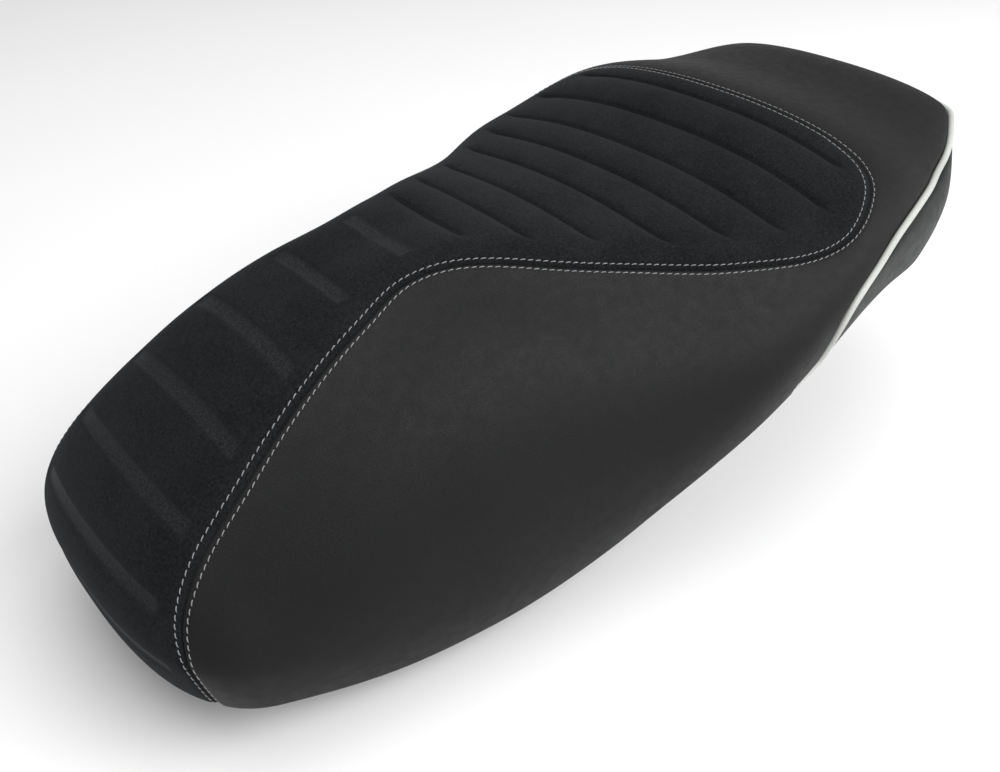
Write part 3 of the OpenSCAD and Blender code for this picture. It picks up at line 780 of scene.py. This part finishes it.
# --- hem under the rim ------------------------------------------------------------------------------
PAN_NOSE, PAN_TAIL = 343, 340
PAN_NOSE_ROUND, PAN_TAIL_ROUND = 53, 17
# The strip runs between these distances in from the pan's outline
HEM_OUTER, HEM_INNER = 2.2, 18.8
HEM_LIFT, HEM_THICKNESS = 1.25, 1.3
# Small gathers: (depth, turns round the seat, phase)
GATHERS = [(0.35, 95, 0), (0.2, 211, 1)]


def pan_half(x, inset):
    nose, tail = PAN_NOSE - inset, PAN_TAIL - inset
    stretch = np.where(x > 0, HALF / PAN_NOSE, HALF / PAN_TAIL)
    width = curve(WIDTH, x * stretch) - TUCK_SIDE - inset
    return width * fade(x, nose - PAN_NOSE_ROUND, nose, NOSE_PLAN[1]) * fade(
        -x, tail - PAN_TAIL_ROUND, tail, TAIL_PLAN[1])


def hem():
    """The strip that the cover ends in, turned under the pan and gathered a little."""
    turn = np.linspace(-math.pi, math.pi, 721)[:-1]
    inset = np.linspace(HEM_OUTER, HEM_INNER, 9)
    nose, tail = PAN_NOSE - inset, PAN_TAIL - inset
    x = -tail[None, :] + (nose + tail)[None, :] * (1 - np.cos(np.abs(turn)))[:, None] / 2
    y = np.sign(turn)[:, None] * np.maximum(np.stack(
        [pan_half(x[:, j], inset[j]) for j in range(len(inset))], 1), 0)
    inward = np.linspace(0, 1, len(inset))[None, :]
    gather = sum(depth * np.sin(turn * count + phase)[:, None] * inward
                 for depth, count, phase in GATHERS)
    under = rim(x) + RIM_DROP + HEM_LIFT + np.maximum(gather, -0.1)
    low = np.stack([x, y, under], -1)
    high = np.stack([x, y, under + HEM_THICKNESS], -1)
    m, n = low.shape[:2]
    ring = np.concatenate([low, high[:, ::-1]], 1)
    points = ring.reshape(-1, 3)
    rows = np.arange(m)[:, None]
    columns = np.arange(2 * n)[None, :]
    after = (rows + 1) % m
    other = (columns + 1) % (2 * n)
    faces = np.stack([rows * 2 * n + columns, rows * 2 * n + other, after * 2 * n + other,
                      after * 2 * n + columns], -1).reshape(-1, 4)
    obj = make_mesh("hem_strip", points, faces)
    return seat_piece(obj, "hem", "hem_band")


# --- foam -------------------------------------------------------------------------------------------
FOAM_CELL, FOAM_INSET = 5, 5.5


def foam():
    """The CAD's foam block, evened out, softened and shrunk clear of the cover."""
    obj = bpy.data.objects.new("foam_block", nodes["seat_foam"].data.copy())
    bpy.context.scene.collection.objects.link(obj)
    remesh = obj.modifiers.new("even", "REMESH")
    remesh.mode = "VOXEL"
    remesh.voxel_size = FOAM_CELL * MM
    soften = obj.modifiers.new("soften", "SMOOTH")
    soften.factor = 0.5
    soften.iterations = 6
    shrink = obj.modifiers.new("shrink", "DISPLACE")
    shrink.mid_level = 0
    shrink.strength = -FOAM_INSET * MM
    bpy.context.view_layer.update()
    ready = obj.evaluated_get(bpy.context.evaluated_depsgraph_get())
    mesh = bpy.data.meshes.new_from_object(ready)
    obj.modifiers.clear()
    obj.data = mesh
    mesh.shade_smooth()
    seat_piece(obj, "foam", "seat_foam")
    return obj


# --- materials --------------------------------------------------------------------------------------
class Surface:
    """A material whose nodes are added one call at a time."""

    def __init__(self, name, color, roughness, metallic=0.0, specular=0.5):
        self.material = bpy.data.materials.new(name)
        self.material.use_nodes = True
        self.tree = self.material.node_tree
        self.shader = self.tree.nodes["Principled BSDF"]
        self.shader.inputs["Base Color"].default_value = (*color, 1)
        self.shader.inputs["Roughness"].default_value = roughness
        self.shader.inputs["Metallic"].default_value = metallic
        self.shader.inputs["Specular IOR Level"].default_value = specular
        self.place = self.add("ShaderNodeTexCoord").outputs["Object"]
        self.bumps = None

    def add(self, kind, **values):
        node = self.tree.nodes.new(kind)
        for key, value in values.items():
            setattr(node, key, value)
        return node

    def link(self, a, b):
        self.tree.links.new(a, b)

    def noise(self, scale, detail=3.0, rough=0.55, stretch=None):
        node = self.add("ShaderNodeTexNoise")
        node.inputs["Scale"].default_value = scale
        node.inputs["Detail"].default_value = detail
        node.inputs["Roughness"].default_value = rough
        source = self.place
        if stretch:
            mapping = self.add("ShaderNodeMapping")
            mapping.inputs["Scale"].default_value = stretch
            self.link(source, mapping.inputs["Vector"])
            source = mapping.outputs["Vector"]
        self.link(source, node.inputs["Vector"])
        return node.outputs["Fac"]

    def cells(self, scale, feature="F1"):
        node = self.add("ShaderNodeTexVoronoi", feature=feature)
        node.inputs["Scale"].default_value = scale
        self.link(self.place, node.inputs["Vector"])
        return node.outputs["Distance"]

    def attribute(self, name):
        return self.add("ShaderNodeAttribute", attribute_name=name).outputs["Fac"]

    def math(self, operation, a, b=0.0):
        node = self.add("ShaderNodeMath", operation=operation)
        for socket, value in zip(node.inputs, (a, b)):
            if isinstance(value, (int, float)):
                socket.default_value = value
            else:
                self.link(value, socket)
        return node.outputs["Value"]

    def spread(self, fac, low, high, to_low, to_high):
        node = self.add("ShaderNodeMapRange")
        for name, value in (("From Min", low), ("From Max", high),
                            ("To Min", to_low), ("To Max", to_high)):
            node.inputs[name].default_value = value
        self.link(fac, node.inputs["Value"])
        return node.outputs["Result"]

    def mix(self, fac, a, b):
        node = self.add("ShaderNodeMix", data_type="RGBA")
        self.link(fac, node.inputs["Factor"])
        for socket, value in ((node.inputs[6], a), (node.inputs[7], b)):
            if isinstance(value, tuple):
                socket.default_value = (*value, 1)
            else:
                self.link(value, socket)
        return node.outputs[2]

    def color(self, value):
        self.link(value, self.shader.inputs["Base Color"])

    def rough(self, value):
        self.link(value, self.shader.inputs["Roughness"])

    def bump(self, height, depth_mm, strength=1.0):
        node = self.add("ShaderNodeBump")
        node.inputs["Distance"].default_value = depth_mm * MM
        node.inputs["Strength"].default_value = strength
        self.link(height, node.inputs["Height"])
        if self.bumps:
            self.link(self.bumps, node.inputs["Normal"])
        self.bumps = node.outputs["Normal"]
        self.link(self.bumps, self.shader.inputs["Normal"])

    def sheen(self, weight, rough, tint):
        self.shader.inputs["Sheen Weight"].default_value = weight
        self.shader.inputs["Sheen Roughness"].default_value = rough
        self.shader.inputs["Sheen Tint"].default_value = (*tint, 1)


def scaled(color, factor):
    return tuple(c * factor for c in color)


def suede():
    base = (0.0090, 0.0095, 0.0103)
    surface = Surface("suede", base, 0.95, specular=0.06)
    nap = surface.noise(26, 5, 0.65)
    fibres = surface.noise(620, 4, 0.75)
    patch = surface.mix(surface.spread(nap, 0.35, 0.65, 0, 1),
                        scaled(base, 0.62), scaled(base, 1.35))
    speckle = surface.mix(surface.spread(fibres, 0.38, 0.62, 0, 1),
                          scaled(base, 0.25), scaled(base, 2.0))
    cloth = surface.mix(surface.spread(surface.noise(170, 3), 0.35, 0.65, 0.3, 0.7), patch, speckle)
    bar = surface.attribute("bar")
    knurl = surface.cells(900)
    pressed = surface.mix(surface.spread(knurl, 0.1, 0.65, 0, 1),
                          (0.026, 0.028, 0.031), (0.010, 0.0105, 0.0115))
    cloth = surface.mix(bar, cloth, pressed)
    # Painted shade: the suede is darkened along the sewn pleat lines, on top of the dips that the
    # creases already make.
    surface.color(surface.mix(surface.spread(surface.attribute("crease"), 0, 1, 0, 0.55), cloth,
                              scaled(base, 0.35)))
    surface.rough(surface.spread(bar, 0, 1, 0.92, 0.6))
    surface.bump(fibres, 0.35, 0.8)
    surface.bump(surface.noise(150, 4, 0.6), 0.5, 0.4)
    surface.sheen(0.04, 0.5, (0.85, 0.92, 1.0))
    return surface.material


def leather(name, base, rough):
    surface = Surface(name, base, rough, specular=0.155)
    grain = surface.cells(950, "DISTANCE_TO_EDGE")
    pores = surface.noise(2200, 2, 0.6)
    tone = surface.mix(surface.spread(surface.noise(16, 3, 0.5), 0.3, 0.7, 0, 1), scaled(base, 0.88),
                       scaled(base, 1.14))
    furrow = surface.spread(grain, 0.0, 0.12, 1, 0)
    surface.color(surface.mix(surface.math("MULTIPLY", furrow, 0.4), tone, scaled(base, 0.6)))
    surface.rough(surface.spread(surface.noise(140, 3), 0.3, 0.7, rough - 0.05, rough + 0.06))
    surface.bump(surface.spread(grain, 0, 0.14, 0, 1), 0.10, 0.55)
    surface.bump(pores, 0.05, 0.4)
    surface.bump(surface.noise(45, 3, 0.5), 0.5, 0.16)
    return surface.material


def woven(name, base, scale, rough=0.85):
    surface = Surface(name, base, rough, specular=0.2)
    fibre = surface.noise(scale, 3, 0.6)
    lines = surface.noise(scale * 1.6, 2, 0.5, stretch=(0.2, 1, 1))
    mixed = surface.math("ADD", fibre, lines)
    surface.color(surface.mix(surface.spread(mixed, 0.7, 1.3, 0, 1),
                              scaled(base, 0.65), scaled(base, 1.25)))
    surface.bump(mixed, 0.2, 0.5)
    surface.sheen(0.15, 0.5, (1, 1, 1))
    return surface.material


def foam_surface():
    base = (0.66, 0.52, 0.24)
    surface = Surface("foam", base, 0.95, specular=0.15)
    pores = surface.cells(520)
    surface.color(surface.mix(surface.spread(pores, 0.0, 0.6, 0, 1),
                              scaled(base, 0.55), scaled(base, 1.1)))
    surface.bump(pores, 0.8, 0.6)
    surface.bump(surface.noise(60, 3), 1.0, 0.2)
    return surface.material


def moulded(name, base, rough, texture=700, depth=0.12):
    surface = Surface(name, base, rough, specular=0.45)
    pebble = surface.noise(texture, 2, 0.5)
    surface.color(surface.mix(surface.spread(surface.noise(30, 4), 0.3, 0.7, 0, 1), scaled(base, 0.85),
                              scaled(base, 1.3)))
    surface.rough(surface.spread(surface.noise(90, 3), 0.3, 0.7, rough - 0.08, rough + 0.08))
    surface.bump(pebble, depth, 0.6)
    return surface.material


def metal(name, base, rough, brushed=(1, 1, 1), spots=0.25, metallic=1.0):
    surface = Surface(name, base, rough, metallic=metallic)
    streaks = surface.noise(420, 3, 0.6, stretch=brushed)
    cloud = surface.noise(55, 4, 0.6)
    surface.color(surface.mix(surface.spread(cloud, 0.35, 0.7, 0, 1),
                              scaled(base, 1 - spots), scaled(base, 1.05)))
    surface.rough(surface.spread(streaks, 0.3, 0.7, rough - 0.07, rough + 0.1))
    surface.bump(streaks, 0.03, 0.4)
    return surface.material


def dress(obj, material):
    obj.data.materials.clear()
    obj.data.materials.append(material)


# --- light, floor and picture ---------------------------------------------------------------------
FLOOR_Z = -0.030
FLOOR_REACH = 12.0
WORLD_STRENGTH = 0.48
# (name, place, point it is aimed at, width, height, power in watts)
LIGHTS = [("key", (0.1, -0.2, 2.3), (0, 0, 0.1), 2.0, 2.0, 18),
          ("side", (-0.5, 1.8, 1.9), (0, 0, 0.12), 2.2, 1.4, 62),
          ("tail", (-2.2, 1.2, 0.7), (-0.2, 0.1, 0.15), 1.4, 1.0, 7)]


def area_light(name, place, aim, width, height, power):
    data = bpy.data.lights.new(name, "AREA")
    data.shape = "RECTANGLE"
    data.size, data.size_y, data.energy = width, height, power
    lamp = bpy.data.objects.new(name, data)
    lamp.location = place
    lamp.rotation_euler = (Vector(aim) - Vector(place)).to_track_quat("-Z", "Y").to_euler()
    bpy.context.scene.collection.objects.link(lamp)


def studio():
    mesh = bpy.data.meshes.new("floor")
    corners = [(-1, -1), (1, -1), (1, 1), (-1, 1)]
    mesh.from_pydata([(x * FLOOR_REACH, y * FLOOR_REACH, FLOOR_Z) for x, y in corners],
                     [], [(0, 1, 2, 3)])
    floor = bpy.data.objects.new("floor", mesh)
    bpy.context.scene.collection.objects.link(floor)
    surface = Surface("floor", (0.9, 0.9, 0.9), 0.9, specular=0.1)
    surface.color(surface.mix(surface.noise(3, 2), (0.90, 0.90, 0.90), (0.92, 0.92, 0.92)))
    dress(floor, surface.material)
    world = bpy.data.worlds.new("studio")
    world.use_nodes = True
    world.node_tree.nodes["Background"].inputs["Color"].default_value = (1, 1, 1, 1)
    world.node_tree.nodes["Background"].inputs["Strength"].default_value = WORLD_STRENGTH
    bpy.context.scene.world = world
    for light in LIGHTS:
        area_light(*light)
    view = bpy.context.scene.view_settings
    view.view_transform = "Standard"
    view.look = "None"


# --- build ------------------------------------------------------------------------------------------
make_camera()
studio()

suede_panel, wadding = centre_panel()
surround = surround_panel()
tail = tail_panel()
cord = piping()
inner_row = stitches("stitches_suede", suede_panel, SUEDE_ROW)
outer_row = stitches("stitches_leather", surround, -LEATHER_ROW)
hem_strip = hem()
block = foam()

dress(suede_panel, suede())
dress(surround, leather("leather", (0.0074, 0.0076, 0.0080), 0.5))
# Painted light: the tail panel is the same black leather as the sides, given a lighter colour for the
# light that it catches from the floor and from behind.
dress(tail, leather("tail_leather", (0.012, 0.0128, 0.0136), 0.5))
dress(cord, leather("piping", (0.50, 0.51, 0.48), 0.5))
thread = woven("thread", (0.25, 0.25, 0.25), 2500, 0.6)
for row in (inner_row, outer_row):
    dress(row, thread)
dress(hem_strip, woven("hem", (0.020, 0.020, 0.022), 900))
dress(wadding, woven("wadding", (0.70, 0.68, 0.62), 400))
dress(block, foam_surface())

zinc = metal("zinc_steel", (0.45, 0.46, 0.48), 0.38)
bright = metal("bright_steel", (0.56, 0.57, 0.59), 0.25, brushed=(1, 0.15, 1), spots=0.1)
black = metal("black_steel", (0.020, 0.020, 0.022), 0.42, metallic=0.0)
rubber = moulded("rubber", (0.015, 0.015, 0.015), 0.75, 900, 0.08)
brass = metal("brass", (0.50, 0.36, 0.14), 0.35)
nylon = moulded("nylon", (0.72, 0.70, 0.64), 0.45, 1200, 0.03)
HARDWARE = {
    "base_pan": moulded("pan_plastic", (0.012, 0.012, 0.013), 0.5),
    "cover_staples": zinc, "striker_plate": zinc, "striker_screws": zinc,
    "hinge_leaf_screws": zinc, "hinge_base_bracket": zinc, "hinge_pin": bright,
    "striker_loop": bright, "hinge_seat_leaf": black, "hinge_pin_clip": black,
    "hinge_leaf_inserts": brass, "striker_inserts": brass,
    "hinge_bush_left": nylon, "hinge_bush_right": nylon,
}
for place in ("front", "middle", "rear"):
    for side in ("left", "right"):
        HARDWARE[f"buffer_{place}_{side}"] = rubber
for name, material in HARDWARE.items():
    dress(nodes[name], material)
